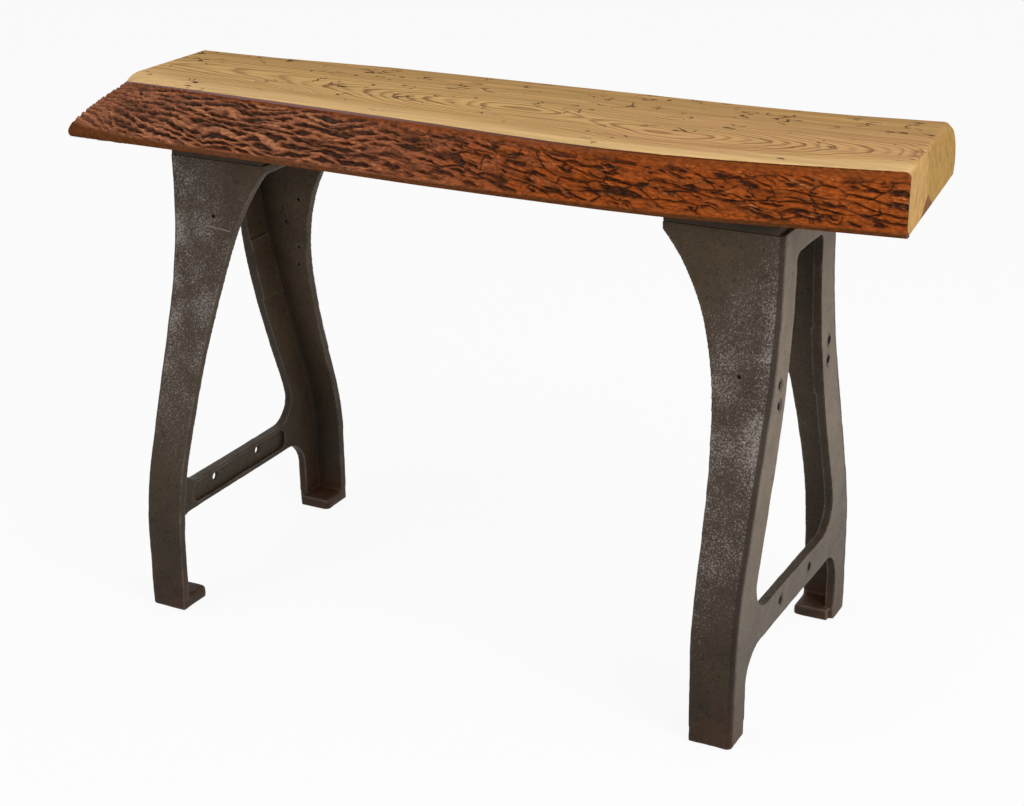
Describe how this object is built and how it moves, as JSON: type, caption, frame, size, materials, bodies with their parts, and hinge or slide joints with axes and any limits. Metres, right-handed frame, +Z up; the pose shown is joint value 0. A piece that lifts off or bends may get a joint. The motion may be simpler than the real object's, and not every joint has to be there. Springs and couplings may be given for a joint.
{
  "type": "console table",
  "caption": "Console table with a thick live edge plank top, bark kept along its front, on flared cast iron machine legs with cross-bars and foot pads.",
  "frame": {"origin": "on the floor under the middle of the table's overall box", "axes": "+X along the table, to the right seen from the bark side; +Y from the bark side to the back; +Z up"},
  "size_m": [1.346, 0.518, 0.868],
  "materials": {
    "cast_iron": "pebbled as cast, dark brown, clear coated",
    "plate_steel": "satin dark paint",
    "fastener_steel": "zinc plated",
    "plank_wood": "satin varnish",
    "bark": "gloss varnish over bark"
  },
  "bodies": {
    "root": {"left_leg_casting": "cast_iron", "right_leg_casting": "cast_iron", "left_mounting_plate": "plate_steel", "right_mounting_plate": "plate_steel", "lag_screws": "fastener_steel", "washers": "fastener_steel", "top_slab": "plank_wood", "bark_edge": "bark"}
  },
  "joints": []
}
